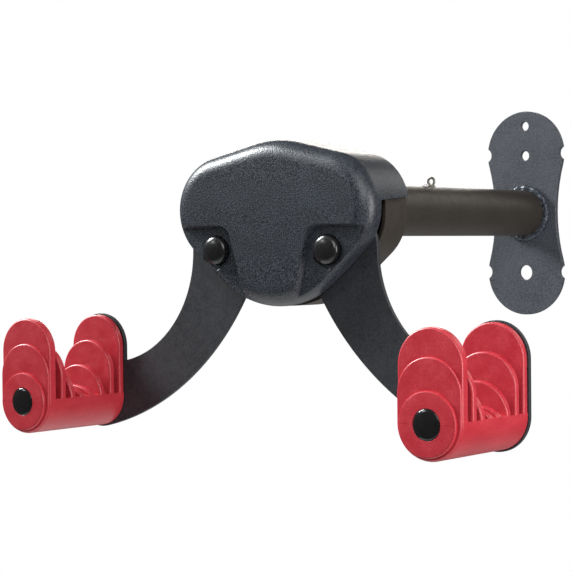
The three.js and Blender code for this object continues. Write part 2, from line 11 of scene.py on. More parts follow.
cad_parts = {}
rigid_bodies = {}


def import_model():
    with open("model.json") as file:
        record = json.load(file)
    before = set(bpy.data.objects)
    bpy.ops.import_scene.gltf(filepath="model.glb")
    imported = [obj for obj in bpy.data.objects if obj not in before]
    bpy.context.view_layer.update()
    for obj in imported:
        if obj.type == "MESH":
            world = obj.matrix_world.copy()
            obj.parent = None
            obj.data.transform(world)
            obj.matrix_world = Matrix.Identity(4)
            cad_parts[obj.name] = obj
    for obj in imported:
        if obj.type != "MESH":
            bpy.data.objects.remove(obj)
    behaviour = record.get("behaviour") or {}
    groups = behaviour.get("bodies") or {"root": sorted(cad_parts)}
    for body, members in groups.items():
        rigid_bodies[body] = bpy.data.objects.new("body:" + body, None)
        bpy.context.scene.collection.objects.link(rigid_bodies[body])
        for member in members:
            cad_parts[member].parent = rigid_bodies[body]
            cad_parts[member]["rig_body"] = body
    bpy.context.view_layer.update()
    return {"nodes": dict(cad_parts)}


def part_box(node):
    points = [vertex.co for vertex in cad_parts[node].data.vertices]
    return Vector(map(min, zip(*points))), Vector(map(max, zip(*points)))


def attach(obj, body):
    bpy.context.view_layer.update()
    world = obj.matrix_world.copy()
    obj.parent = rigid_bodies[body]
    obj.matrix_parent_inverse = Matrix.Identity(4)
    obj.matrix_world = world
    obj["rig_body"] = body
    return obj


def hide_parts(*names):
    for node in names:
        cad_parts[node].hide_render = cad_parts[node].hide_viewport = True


# The looks of the bike wall rack. Shapes are drawn as seen from the front, as (across, up, out of
# the wall), in metres, and turned into the frame (across, into the wall, up) when a mesh is made.

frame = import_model()

MM = 0.001
DEG = radians(1)
SIDES = {"left": -1, "right": 1}


def out_range(node):
    """How far from the wall a node starts and ends."""
    low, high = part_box(node)
    return -high.y, -low.y


def middle_out(node):
    """How far from the wall a node's middle lies."""
    return sum(out_range(node)) / 2


def axis_of(node):
    """The middle of a node seen from the front: across and up."""
    low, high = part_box(node)
    return (low.x + high.x) / 2, (low.z + high.z) / 2


def half_width(node):
    low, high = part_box(node)
    return (high.x - low.x) / 2


# Plate, tube and spigot
LOBE_R = half_width("wall_plate")
LOBE_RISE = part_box("wall_plate")[1].z - LOBE_R
WAIST_INSET = 6.7 * MM
NOTCH_R = 5.8 * MM
NOTCH_DEPTH = 3.5 * MM
PLATE_EDGE = 0.6 * MM
PLATE_HOLES = (  # radius and height
    (3.7 * MM, LOBE_RISE + LOBE_R - 12.3 * MM),
    (4 * MM, LOBE_RISE - 1.3 * MM),
    (6.15 * MM, -LOBE_RISE - 0.4 * MM),
)
TUBE_R = half_width("wall_tube")
TUBE_WALL = 2 * MM
PIN_HOLE_R = 2.8 * MM
STOP_HOLE_R = 1.8 * MM
SPIGOT_R = half_width("head_spigot")
SPIGOT_WALL = 2.4 * MM
SEAT_GAP = 0.3 * MM
OVERRUN = 2 * MM  # how far a cut runs past what it cuts

# Head outline
PEAK_RISE = 49.4 * MM
HEAD_HALF_W = half_width("front_cover")
EAVE_RISE = 30.4 * MM
CHIN_DROP = 67.6 * MM
JAW_RISE = -18.035 * MM
CHIN_HALF_W = 26.217 * MM
CORNER_RADII = (73 * MM, 39.5 * MM, 38 * MM, 80 * MM)  # chin, jaw, eave and peak
BRACKET_INSET = 3.2 * MM
BRACKET_T = 3 * MM
BRACKET_BEND = 2.4 * MM
BRACKET_INNER_BEND = 1.5 * MM
BRACKET_LIP = 0.5 * MM

# Cover
COVER_WALL = 2.5 * MM
COVER_EDGE_R = 12.5 * MM
COVER_EDGE_ANGLES = (0, 6, 12, 17, 22, 26, 30, 33, 36, 38, 41, 44, 47, 50)  # in degrees
HOOD_LINE = 5.65 * MM
HOOD_CORNER = 1.6 * MM
COVER_LIP = out_range("left_arm_plate")[1] + 0.5 * MM
COVER_LIP_EDGE = 0.4 * MM
COVER_FACE = out_range("front_cover")[1]
FACE_CROWN = 1.8 * MM  # how much the face falls back over CHIN_DROP from its crown
FACE_CROWN_RISE = -8 * MM
POCKET_DEPTH = 4.5 * MM
POCKET_SLOPE = 1.3 * MM
POCKET_TOP = -11.4 * MM
POCKET_BLEND = 0.8 * MM
EDGE_BLEND = 0.7 * MM
TONGUE_TOP_HALF_W = 34.5 * MM
TONGUE_FOOT_HALF_W = 19.1 * MM
TONGUE_FOOT_DROP = CHIN_DROP + 2 * MM
TONGUE_CORNER_R = 11 * MM
RECESS_R = 14 * MM
RECESS_DEPTH = 1.2 * MM
RECESS_SLANT = 0.6 * MM
RECESS_TOP = 7 * MM  # over the pivot
RECESS_FADE = 6 * MM
CAP_HOLE_R = 10.22 * MM
CAP_HOLE_EDGE = 0.45 * MM
CAP_HOLE_STEP = 4 * DEG
POST_R = 4.5 * MM
COVER_SCREWS = ("cover_screw_upper_left", "cover_screw_upper_right", "cover_screw_lower")

# Bands of points on the cover's face, in millimetres: inwards from the outlines of the pockets,
# the hexagons and the face, and outwards from the cap holes
POCKET_BANDS = (-1.6, -1.0, -0.6, -0.3, 0, 0.4, 0.9, 1.4, 1.9, 2.3, 2.6, 3.0, 3.6, 4.4)
HEX_BANDS = (-0.5, -0.1, 0.15, 0.35, 0.65)
FACE_BANDS = (0.6, 1.3, 2.1, 3.1, 4.3, 5.7, 7.3)
CAP_HOLE_BANDS = (0.12, 0.3, 0.5)

# Holes for bolts and screws
PIVOT_HOLE_R = 5.3 * MM
ARM_PIVOT_HOLE_R = 5.1 * MM
CRADLE_HOLE_R = 4.3 * MM
SCREW_HOLE_R = 2.3 * MM

# Arms
HUB_R = 32.1 * MM
TAB_R = 24.15 * MM
TAB_RISE = 36.25 * MM
CROTCH_RISE = 25.8 * MM
ARM_ROOT_ANGLE = 234.9 * DEG
ARM_HEEL_ANGLE = 77.3 * DEG
ARM_EDGE = 0.45 * MM

# Cradles
FIN_HALF_W = half_width("left_cradle")
BELLY_DROP = 22.9 * MM
BELLY_TOP = 2 * MM
BELLY_EDGE = 0.7 * MM
FIN_T = 5.3 * MM
FIN_PITCH = 10.25 * MM
FIN_TOP_RISE = 59.5 * MM
FIN_RISE_SHARES = (1, 0.694, 0.397, 0.165, 0.165, 0.397, 0.681, 0.995)
FIN_EDGE = 1.4 * MM
MIDDLE_STEP_RISE = 41.6 * MM
MIDDLE_STEP_T = 1.5 * MM
MIDDLE_STEP_INSET = 0.5 * MM
MIDDLE_STEP_EDGE = 1.1 * MM
FRONT_STEP_R = 20.6 * MM
FRONT_STEP_T = 2.5 * MM
FRONT_STEP_EDGE = 1.2 * MM
SEAM_HALF_W = 0.15 * MM
SEAM_DEPTH = 0.1 * MM
PLUG_HOLE_R = 9.9 * MM
PLUG_HOLE_DEPTH = 15 * MM
PLUG_HOLE_EDGE = 0.35 * MM
PEG_R = 2.5 * MM
PEG_LENGTH = 2.6 * MM
HAIR = 0.06 * MM  # keeps faces of joined solids apart


# Outlines, as arrays of points that run anticlockwise


def arc(centre, radius, start, end, step=3 * DEG):
    count = max(1, round(abs(end - start) / step))
    angles = np.linspace(start, end, count + 1)
    x, y = centre
    return np.column_stack((x + radius * np.cos(angles), y + radius * np.sin(angles)))


def circle(centre, radius, step=6 * DEG):
    return arc(centre, radius, 0, 2 * pi, step)[:-1]


def hexagon(centre, radius):
    return arc(centre, radius, pi / 2, 5 * pi / 2, 60 * DEG)[:-1]


def corner_radius(half_across):
    """The radius at a hexagon's corners, from half its width across flats."""
    return half_across / cos(30 * DEG)


def rectangle(half_w, half_h):
    return np.array(((-1, -1), (1, -1), (1, 1), (-1, 1))) * (half_w, half_h)


def half_oval(half_w, height, start):
    return arc((0, 0), 1, start, start + pi) * (half_w, height)


def closed(*stretches):
    """One outline from its stretches, without points that repeat the one before."""
    points = np.vstack(stretches)
    apart = norm(points - np.roll(points, 1, axis=0), axis=1)
    return points[apart > 0.02 * MM]


def unit(vectors):
    return vectors / norm(vectors, axis=-1, keepdims=True)


def outward(outline):
    """At each point, the step that moves both of its edges outwards by one unit."""
    before = unit(outline - np.roll(outline, 1, axis=0))
    after = np.roll(before, -1, axis=0)
    both = before + after
    step = np.column_stack((both[:, 1], -both[:, 0]))
    return step / (1 + np.sum(before * after, axis=1))[:, None]


def rounded(corners, radii):
    """Rounds an outline's corners. Two arcs that would meet on an edge share it."""
    edges = np.roll(corners, -1, axis=0) - corners
    lengths = norm(edges, axis=1)
    along = unit(edges)
    before = np.roll(along, 1, axis=0)
    turns = np.arctan2(
        before[:, 0] * along[:, 1] - before[:, 1] * along[:, 0],
        np.sum(before * along, axis=1),
    )
    wanted = np.array(radii) * np.tan(np.abs(turns) / 2)
    shares = np.minimum(1, lengths / np.maximum(wanted + np.roll(wanted, -1), 1e-9))
    stretches = []
    for i in range(len(corners)):
        reach = wanted[i] * min(shares[i], shares[i - 1])
        if reach == 0:
            stretches.append(corners[i:i + 1])
            continue
        radius = reach / tan(abs(turns[i]) / 2)
        side = copysign(1, turns[i])
        start = corners[i] - before[i] * reach
        centre = start + np.array((-before[i][1], before[i][0])) * radius * side
        angle = atan2(start[1] - centre[1], start[0] - centre[0])
        stretches.append(arc(centre, radius, angle, angle + turns[i], 1 * DEG))
    return closed(*stretches)


def evenly_spaced(outline, spacing):
    """The same outline with its points a steady distance apart."""
    loop = np.vstack((outline, outline[:1]))
    run = np.concatenate(([0], np.cumsum(norm(np.diff(loop, axis=0), axis=1))))
    places = np.linspace(0, run[-1], round(run[-1] / spacing), endpoint=False)
    return np.column_stack([np.interp(places, run, loop[:, k]) for k in (0, 1)])


def inset_corners(corners, insets):
    """Moves each edge inwards by its own inset, which has the place of the corner it starts at."""
    edges = unit(np.roll(corners, -1, axis=0) - corners)
    inward = np.column_stack((-edges[:, 1], edges[:, 0]))
    before, inset_before = np.roll(inward, 1, axis=0), np.roll(insets, 1)
    overlap = np.sum(before * inward, axis=1)
    share = 1 / (1 - overlap ** 2)
    first = (inset_before - insets * overlap) * share
    second = (insets - inset_before * overlap) * share
    return corners + before * first[:, None] + inward * second[:, None]


def head_outline(spacing, upper_inset=0.0):
    """The head from the front. Its sides and roof can lie further in than its chin and slopes."""
    side = HEAD_HALF_W
    right = np.array(((CHIN_HALF_W, -CHIN_DROP), (side, JAW_RISE), (side, EAVE_RISE)))
    corners = np.vstack((right, ((0, PEAK_RISE),), (right * (-1, 1))[::-1]))
    insets = np.array((0, 1, 1, 1, 1, 0, 0)) * upper_inset
    radii = np.array((*CORNER_RADII, *CORNER_RADII[2::-1])) - upper_inset
    return evenly_spaced(rounded(inset_corners(corners, insets), radii), spacing)


def plate_outline():
    waist_half_w = LOBE_R - WAIST_INSET
    waist_r = (WAIST_INSET ** 2 + LOBE_RISE ** 2) / (2 * WAIST_INSET) - LOBE_R
    tilt = atan2(LOBE_RISE, waist_half_w + waist_r)
    notch_x = LOBE_R + NOTCH_R - NOTCH_DEPTH
    on_lobe = acos((LOBE_R ** 2 + notch_x ** 2 - NOTCH_R ** 2) / (2 * LOBE_R * notch_x))
    on_notch = acos((NOTCH_R ** 2 + notch_x ** 2 - LOBE_R ** 2) / (2 * NOTCH_R * notch_x))
    lobe = (0, LOBE_RISE)
    upper_half = [
        arc(lobe, LOBE_R, -tilt, -on_lobe),
        arc((notch_x, LOBE_RISE), NOTCH_R, pi + on_notch, pi - on_notch),
        arc(lobe, LOBE_R, on_lobe, pi - on_lobe),
        arc((-notch_x, LOBE_RISE), NOTCH_R, on_notch, -on_notch),
        arc(lobe, LOBE_R, pi + on_lobe, pi + tilt),
        arc((-waist_half_w - waist_r, 0), waist_r, tilt, -tilt),
    ]
    return closed(*upper_half, *[-stretch for stretch in upper_half])


def cradle_offset():
    """Where the right cradle's axis lies from its arm's pivot."""
    return np.array(axis_of("right_cradle_plug")) - axis_of("right_pivot_cap")


def arm_outline(side):
    """One arm about its pivot. The left one is the right one's mirror image."""
    tab = cradle_offset()
    crotch = tab + (-TAB_R, CROTCH_RISE)
    span = crotch[0] - HUB_R
    inner_r = (span ** 2 + crotch[1] ** 2) / (2 * span)
    inner_end = pi + atan2(-crotch[1], HUB_R + inner_r - crotch[0])
    root = HUB_R * np.array((cos(ARM_ROOT_ANGLE), sin(ARM_ROOT_ANGLE)))
    heel = np.array((cos(ARM_HEEL_ANGLE), sin(ARM_HEEL_ANGLE)))
    to_root = root - tab
    away = (to_root @ to_root - TAB_R ** 2) / (2 * (to_root @ heel + TAB_R))
    outer = tab + heel * away
    heel_end = ARM_HEEL_ANGLE + pi
    root_end = atan2(root[1] - outer[1], root[0] - outer[0]) + 2 * pi
    outline = closed(
        arc((0, 0), HUB_R, ARM_ROOT_ANGLE, 0),
        arc((HUB_R + inner_r, 0), inner_r, pi, inner_end),
        arc(tab + (0, TAB_RISE), TAB_R, pi, 0),
        arc(tab, TAB_R, 0, heel_end - 2 * pi),
        arc(outer, away + TAB_R, heel_end, root_end, 1 * DEG),
    )[::-1]
    return outline if side > 0 else (outline * (-1, 1))[::-1]


def fin_outline(rise, inset):
    half_w = FIN_HALF_W - inset
    if rise > FIN_HALF_W:
        crown = arc((0, rise - FIN_HALF_W), half_w, 0, pi)
    else:
        crown = half_oval(half_w, rise - inset, 0)
    return closed(crown, half_oval(half_w, BELLY_DROP - inset, pi))


def pocket_outline():
    """The right pocket, run out past the cover's edge."""
    past = 6 * MM
    beyond, foot = HEAD_HALF_W + past, -CHIN_DROP - past
    lean = (TONGUE_TOP_HALF_W - TONGUE_FOOT_HALF_W) / (TONGUE_FOOT_DROP + POCKET_TOP)
    corners = np.array((
        (TONGUE_TOP_HALF_W, POCKET_TOP),
        (TONGUE_TOP_HALF_W - lean * (POCKET_TOP - foot), foot),
        (beyond, foot),
        (beyond, POCKET_TOP),
    ))
    return rounded(corners, (TONGUE_CORNER_R, 0, 0, 0))


# Profiles, as lists of (inset or radius, out)


def quarter_bend(edge, steps):
    """The two legs left over along a rounded edge: one falls to nothing, the other grows."""
    angles = np.linspace(0, pi / 2, steps + 1)
    return edge * (1 - np.sin(angles)), edge * (1 - np.cos(angles))


def bend_profile(back, front, edge, steps):
    """(inset, out) pairs of a slab's side with both edges rounded."""
    insets, rises = quarter_bend(edge, steps)
    return [*zip(insets, back + rises), *list(zip(insets, front - rises))[::-1]]


def lip_profile(wall, soft):
    """(inset, fall) pairs over the softened end of a wall, from outside to inside."""
    outer = [(0, soft), (soft / 4, soft / 4), (soft, 0)]
    return outer + [(wall - inset, fall) for inset, fall in outer[::-1]]


def dome(radius, base, crown, count, power=1.0):
    """(radius, out) pairs up a round crown, from its foot to just before its top."""
    angles = np.linspace(0, pi / 2, count)[:-1]
    height = crown - base
    return [(radius * cos(a) ** power, base + height * sin(a) ** power) for a in angles]


def button_profile(radius, back, base, crown, count, power=1.0):
    """A round plug with a small bevel at its foot and a dome from base to crown."""
    bevel = 0.2 * MM
    foot = [(0, back), (radius - bevel, back), (radius, back + bevel)]
    return [*foot, *dome(radius, base, crown, count, power), (0, crown)]


# Solids, each as (points, faces) drawn from the front


def side_faces(first, count, rings):
    """Four-sided faces between rings of points, stored one ring after another."""
    faces = []
    for start in range(first, first + (rings - 1) * count, count):
        for i in range(count):
            a, b = start + i, start + (i + 1) % count
            faces.append((a, b, b + count, a + count))
    return faces


def hoop_faces(count, rings):
    """Faces between rings of points round a hoop, its last ring joined to its first."""
    return [tuple(k % (count * rings) for k in face) for face in side_faces(0, count, rings + 1)]


def inset_rings(outline, profile):
    """Rings of points, each at its inset from an outline and its distance out."""
    out_step = outward(outline)
    return [(x, y, out) for inset, out in profile for x, y in outline - out_step * inset]


def loft(outline, profile):
    """A solid with rings of points between two flat ends."""
    count = len(outline)
    last = (len(profile) - 1) * count
    ends = [tuple(range(count)), tuple(range(last, last + count))]
    return inset_rings(outline, profile), side_faces(0, count, len(profile)) + ends


def slab(outline, back, front, edge, holes=(), steps=3):
    """A flat plate with rounded edges, from one distance out of the wall to another."""
    profile = bend_profile(back, front, edge, steps)
    if not holes:
        return loft(outline, profile)
    points, faces, rims, low, high = [], [], [], [], []
    for loop in (outline, *[hole[::-1] for hole in holes]):
        first, count = len(points), len(loop)
        last = first + (len(profile) - 1) * count
        points.extend(inset_rings(loop, profile))
        faces.extend(side_faces(first, count, len(profile)))
        rims.append([Vector(point) for point in points[first:first + count]])
        low.extend(range(first, first + count))
        high.extend(range(last, last + count))
    for triangle in tessellate_polygon(rims):
        faces.extend(tuple(rim[k] for k in triangle) for rim in (low, high))
    return points, faces


def turned(profile, at=(0, 0), steps=72):
    """A profile of (radius, out) turned about an axis. It ends on the axis, or on itself."""
    x, y = at
    points, faces, rings = [], [], []
    angles = np.linspace(0, 2 * pi, steps, endpoint=False)
    for radius, out in profile:
        first = len(points)
        if radius == 0:
            rings.append([first] * steps)
            points.append((x, y, out))
        else:
            rings.append(list(range(first, first + steps)))
            points.extend((x + radius * cos(a), y + radius * sin(a), out) for a in angles)
    if profile[0][0] > 0:
        rings.append(rings[0])
    for lower, upper in zip(rings, rings[1:]):
        for i in range(steps):
            j = (i + 1) % steps
            faces.append(tuple(dict.fromkeys((lower[i], lower[j], upper[j], upper[i]))))
    return points, faces


def rounded_ring(inner_r, outer_r, back, front, edge, at=(0, 0), steps=72):
    """A washer, tube or sleeve with softened edges."""
    bend = bend_profile(back, front, edge, 2)
    outer = [(outer_r - inset, out) for inset, out in bend]
    inner = [(inner_r + inset, out) for inset, out in reversed(bend)]
    return turned(outer + inner, at, steps)


def rounded_rod(radius, back, front, edge=0.25 * MM, at=(0, 0), steps=72):
    bend = [(radius - inset, out) for inset, out in bend_profile(back, front, edge, 2)]
    return turned([(0, back), *bend, (0, front)], at, steps)


UPRIGHT = Matrix.Rotation(-pi / 2, 3, "X")  # turns "out" to "up"


def stood_up(solid, from_wall):
    """A solid turned so that its axis points up, at a distance from the wall."""
    points, faces = solid
    return [tuple(UPRIGHT @ Vector(p) + Vector((0, 0, from_wall))) for p in points], faces


def upright_rod(radius, bottom, top, from_wall, edge=0.2 * MM):
    """A rod that stands on the tube, from one height above the tube's axis to another."""
    return stood_up(rounded_rod(radius, bottom, top, edge, steps=40), from_wall)


def weld_bead(radius, size, seat):
    """A bulging bead laid in overlapping ripples, in the corner of a face and a tube."""
    turns, bends = 288, 10
    inner_r = radius + SEAT_GAP
    points = []
    for i in range(turns):
        angle = 2 * pi * i / turns
        ripple = 1 - 0.16 * abs(sin(9 * angle + 0.8 * sin(3 * angle))) ** 1.5
        swell = 0.97 + 0.03 * sin(2 * angle + 1) - 0.02 * sin(5 * angle)
        across, up = cos(angle), sin(angle)
        for k in range(bends + 1):
            bend = pi / 2 * k / bends
            bulge = size * (0.75 + 0.25 * sin(2 * bend))
            if 0 < k < bends:
                bulge *= ripple * swell
            reach = inner_r + bulge * cos(bend)
            points.append((reach * across, reach * up, seat + bulge * sin(bend)))
        points.append((inner_r * across, inner_r * up, seat))
    return points, hoop_faces(bends + 2, turns)


def hex_rod(half_across, back, front, at):
    return slab(hexagon(at, corner_radius(half_across)), back, front, 0.05 * MM)


def chamfered_hex(across, back, front, at, hole=0.0):
    """A nut or bolt head, its corners turned off at both ends."""
    corner_r = corner_radius(across / 2)
    block = slab(rounded(hexagon(at, corner_r), [0.4 * MM] * 6), back, front, 0.05 * MM)
    flat_r, turn = across / 2 * 0.97, 0.95 * MM
    steps = [("INTERSECT", turned([
        (0, back - MM), (flat_r - turn, back - MM), (flat_r, back),
        (corner_r + turn, back + turn * 1.2), (corner_r + turn, front - turn * 1.2),
        (flat_r, front), (flat_r - turn, front + MM), (0, front + MM),
    ], at))]
    if hole:
        steps += cut(rounded_rod(hole, back - MM, front + MM, at=at))
    return block, steps


def threaded_rod(radius, back, front, at, pitch, thread_length):
    """A bolt's shank, from its end, with a cut thread over the given length."""
    x, y = at
    sides = 48
    depth = pitch * 0.5
    rows = max(2, round(thread_length / pitch * 8))
    points = [(x, y, back)]
    for k in range(rows + 2):
        out = back + thread_length * k / rows if k <= rows else front
        for i in range(sides):
            angle = 2 * pi * i / sides
            phase = ((out - back) / pitch - i / sides) % 1
            groove = depth * abs(2 * phase - 1) if k < rows else 0
            lead = max(0, 1 - (out - back) / pitch) * depth
            reach = radius - max(groove, lead)
            points.append((x + reach * cos(angle), y + reach * sin(angle), out))
    last = 1 + (rows + 1) * sides
    tip = [(0, 1 + i, 1 + (i + 1) % sides) for i in range(sides)]
    return points, [*side_faces(1, sides, rows + 2), *tip, tuple(range(last, last + sides))]


# Meshes


def joined(*solids):
    return [("UNION", solid) for solid in solids]


def cut(*solids):
    return [("DIFFERENCE", solid) for solid in solids]


def build_mesh(name, solid):
    points, faces = solid
    mesh = bpy.data.meshes.new(name)
    mesh.from_pydata([(x, -out, y) for x, y, out in points], [], faces)
    edit = bmesh.new()
    edit.from_mesh(mesh)
    bmesh.ops.recalc_face_normals(edit, faces=edit.faces)
    edit.to_mesh(mesh)
    edit.free()
    return mesh


def placed(name, data):
    """A new object in the scene."""
    made = bpy.data.objects.new(name, data)
    bpy.context.scene.collection.objects.link(made)
    return made


def combine(name, base, steps):
    """Joins solids to a base solid, or cuts them from it. steps are (operation, solid) pairs."""
    made = placed(name, build_mesh(name, base))
    tools = []
    for operation, solid in steps:
        tools.append(placed("tool", build_mesh("tool", solid)))
        change = made.modifiers.new(operation, "BOOLEAN")
        change.operation = operation
        change.solver = "MANIFOLD"
        change.object = tools[-1]
    seen = made.evaluated_get(bpy.context.evaluated_depsgraph_get())
    mesh = bpy.data.meshes.new_from_object(seen)
    for used in (made, *tools):
        bpy.data.objects.remove(used)
    mesh.name = name
    return mesh


# Materials


def fill(tree, node, sockets):
    """Sets a node's sockets to constants, or links them to other nodes' outputs."""
    for name, value in sockets.items():
        if isinstance(value, bpy.types.NodeSocket):
            tree.links.new(value, node.inputs[name])
        else:
            node.inputs[name].default_value = value


def add_node(tree, kind, sockets, **settings):
    """Adds a node and gives its outputs."""
    node = tree.nodes.new("ShaderNode" + kind)
    for name, value in settings.items():
        setattr(node, name, value)
    fill(tree, node, sockets)
    return node.outputs


class Finish:
    """A node material being put together, with a few short ways to add nodes."""

    def __init__(self, name, roughness, metallic=0.0, specular=0.5):
        self.material = bpy.data.materials.new(name)
        self.material.use_nodes = True
        self.surface = self.material.node_tree.nodes["Principled BSDF"]
        self.set("Roughness", roughness)
        self.set("Metallic", metallic)
        self.set("Specular IOR Level", specular)
        self.place = self.add("TexCoord", {})["Object"]

    def add(self, kind, sockets, **settings):
        return add_node(self.material.node_tree, kind, sockets, **settings)

    def set(self, name, value):
        fill(self.material.node_tree, self.surface, {name: value})

    def stretched(self, scale):
        return self.add("Mapping", {"Vector": self.place, "Scale": scale})["Vector"]

    def noise(self, size, detail=2.0, roughness=0.5, place=None):
        """Soft lumps of about the given size."""
        sockets = {"Scale": 1 / size, "Detail": detail, "Roughness": roughness}
        return self.add("TexNoise", {"Vector": place or self.place, **sockets})["Fac"]

    def cells(self, size):
        """Pebbles of about the given size."""
        sockets = {"Vector": self.place, "Scale": 1 / size, "Smoothness": 0.6}
        return self.add("TexVoronoi", sockets, feature="SMOOTH_F1")["Distance"]

    def spread(self, texture, to_low=0.0, to_high=1.0, low=0.3, high=0.7):
        """A texture's range from low to high, spread over another range."""
        ends = {"From Min": low, "From Max": high, "To Min": to_low, "To Max": to_high}
        return self.add("MapRange", {"Value": texture, **ends})["Result"]

    def mix(self, share, first, second):
        """A colour between two, by a share from a texture."""
        first, second = ((*c, 1) if isinstance(c, tuple) else c for c in (first, second))
        return self.add("Mix", {"Factor": share, 6: first, 7: second}, data_type="RGBA")[2]

    def paint(self, share, first, second):
        self.set("Base Color", self.mix(share, first, second))

    def gloss(self, texture, smooth, rough, low=0.3, high=0.7):
        self.set("Roughness", self.spread(texture, smooth, rough, low, high))

    def bump(self, height, distance):
        """Raises the surface by a texture. Calls add up."""
        sockets = {"Height": height, "Distance": distance}
        under = self.surface.inputs["Normal"].links
        if under:
            sockets["Normal"] = under[0].from_socket
        self.set("Normal", self.add("Bump", sockets)["Normal"])


def powder_coat(name, dark, light, roughness, grain, relief):
    """Baked paint on steel: fine orange peel, slightly uneven gloss and tone."""
    finish = Finish(name, roughness, specular=0.45)
    fine = finish.noise(grain, 3.0, 0.6)
    broad = finish.noise(28 * MM)
    tone = finish.mix(finish.spread(fine, low=0.35, high=0.65), dark, light)
    finish.paint(finish.spread(broad, 0.0, 0.5), tone, light)
    finish.gloss(finish.noise(6 * MM), roughness - 0.05, roughness + 0.05)
    finish.bump(fine, relief)
    return finish.material


def moulded_plastic(name, dark, light, roughness, pebble, relief):
    """Moulded plastic with a spark-eroded texture."""
    finish = Finish(name, roughness)
    pebbles = finish.cells(pebble)
    broad = finish.noise(20 * MM)
    grain = finish.noise(pebble * 0.7, 2.0, 0.6)
    tone = finish.mix(finish.spread(grain, low=0.4, high=0.6), dark, light)
    finish.paint(finish.spread(broad, 0.0, 0.3), tone, dark)
    finish.gloss(grain, roughness - 0.06, roughness + 0.06)
    finish.bump(pebbles, relief)
    finish.bump(grain, relief * 0.6)
    return finish.material


def satin_red(name, roughness):
    """The cradles' plastic: smooth, satin, with slow flow marks and a faint grain."""
    finish = Finish(name, roughness, specular=0.6)
    flow = finish.noise(9 * MM, 3.0, 0.55, finish.stretched((1.0, 0.35, 1.0)))
    grain = finish.noise(1.1 * MM, 3.0, 0.6)
    tone = finish.mix(finish.spread(flow), (0.50, 0.028, 0.042), (0.60, 0.046, 0.062))
    finish.paint(finish.spread(grain, 0.0, 0.8, 0.35, 0.65), tone, (0.43, 0.018, 0.032))
    finish.gloss(flow, roughness - 0.05, roughness + 0.07)
    finish.bump(grain, 0.012 * MM)
    finish.bump(flow, 0.05 * MM)
    return finish.material


def gloss_plastic(name, roughness):
    """Polished black plastic with faint handling marks."""
    finish = Finish(name, roughness, specular=0.55)
    marks = finish.noise(1.2 * MM, 4.0, 0.7, finish.stretched((1.0, 1.0, 3.0)))
    haze = finish.noise(5 * MM, 3.0)
    finish.paint(finish.spread(haze), (0.006, 0.006, 0.007), (0.011, 0.011, 0.012))
    finish.gloss(marks, roughness - 0.04, roughness + 0.1, 0.35, 0.75)
    finish.bump(haze, 0.03 * MM)
    return finish.material


def zinc_plate(name, grey, yellow):
    """Bright zinc on steel: brushed, clouded, a little yellow in places."""
    finish = Finish(name, 0.34, metallic=1.0)
    brushed = finish.noise(1.2 * MM, 3.0, 0.6, finish.stretched((1.0, 1.0, 6.0)))
    cloud = finish.noise(4 * MM, 3.0)
    finish.paint(finish.spread(cloud, low=0.35, high=0.65), grey, yellow)
    finish.gloss(brushed, 0.26, 0.46)
    finish.bump(brushed, 0.02 * MM)
    return finish.material


def weld_metal(name, dark, light):
    """Painted weld: ripples whose crests carry a lighter bluish colour, a painted highlight."""
    finish = Finish(name, 0.36)
    spots = finish.noise(2.4 * MM, 3.0, 0.55)
    # Painted highlight: the light colour follows the bump's crests, standing in for shine on the
    # ripples.
    finish.paint(finish.spread(spots, low=0.35, high=0.65), dark, light)
    finish.gloss(spots, 0.26, 0.5)
    finish.bump(spots, 0.2 * MM)
    return finish.material


def friction_fibre(name, dark, light):
    finish = Finish(name, 0.85)
    strands = finish.noise(0.8 * MM, 4.0, 0.7)
    finish.paint(finish.spread(strands), dark, light)
    finish.bump(strands, 0.06 * MM)
    return finish.material


MATERIALS = {
    "plate_steel": powder_coat(
        "plate_coat", (0.024, 0.027, 0.033), (0.080, 0.088, 0.104), 0.48, 1.4 * MM, 0.06 * MM
    ),
    "tube_steel": powder_coat(
        "tube_coat", (0.022, 0.018, 0.014), (0.037, 0.031, 0.025), 0.5, 1.2 * MM, 0.03 * MM
    ),
    "arm_steel": powder_coat(
        "arm_coat", (0.013, 0.0145, 0.018), (0.033, 0.036, 0.042), 0.48, 1.4 * MM, 0.05 * MM
    ),
    # The weld's light colour is a painted highlight on its ripple crests.
    "weld": weld_metal("weld_bead", (0.014, 0.017, 0.024), (0.05, 0.06, 0.08)),
    "cover_plastic": moulded_plastic(
        "cover_moulding", (0.002, 0.004, 0.007), (0.062, 0.072, 0.088), 0.37, 1.1 * MM, 0.13 * MM
    ),
    "cap_plastic": gloss_plastic("cap_gloss", 0.24),
    "cradle_plastic": satin_red("cradle_moulding", 0.36),
    "zinc_steel": zinc_plate("zinc_plating", (0.50, 0.51, 0.53), (0.60, 0.58, 0.50)),
    "fibre": friction_fibre("fibre_facing", (0.07, 0.045, 0.03), (0.17, 0.12, 0.08)),
}
PLUG_GLOSS = gloss_plastic("plug_gloss", 0.14)
# Painted shade: the ring pin's zinc is a darker copy of the plating, which dims its reflections.
RING_ZINC_PAINTED_SHADE = zinc_plate("ring_zinc_painted_shade", (0.17, 0.17, 0.18), (0.24, 0.22, 0.17))


def stand_in(node, solid, slot, steps=(), sharp=32 * DEG, material=None):
    """Builds a node's finer shape and shows it in that node's place, on the node's own body."""
    mesh = combine(node, solid, steps) if steps else build_mesh(node, solid)
    mesh.materials.clear()
    mesh.materials.append(material or MATERIALS[slot])
    mesh.shade_smooth()
    mesh.set_sharp_from_angle(angle=sharp)
    piece = placed(node + "_fine", mesh)
    weighted = piece.modifiers.new("weighted_normals", "WEIGHTED_NORMAL")
    weighted.keep_sharp = True
    weighted.weight = 50
    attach(piece, frame["nodes"][node]["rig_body"])
    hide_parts(node)


# Plate and tube


def make_wall_plate():
    holes = [circle((0, rise), radius) for radius, rise in PLATE_HOLES]
    plate = slab(plate_outline(), *out_range("wall_plate"), PLATE_EDGE, holes)
    stand_in("wall_plate", plate, "plate_steel")


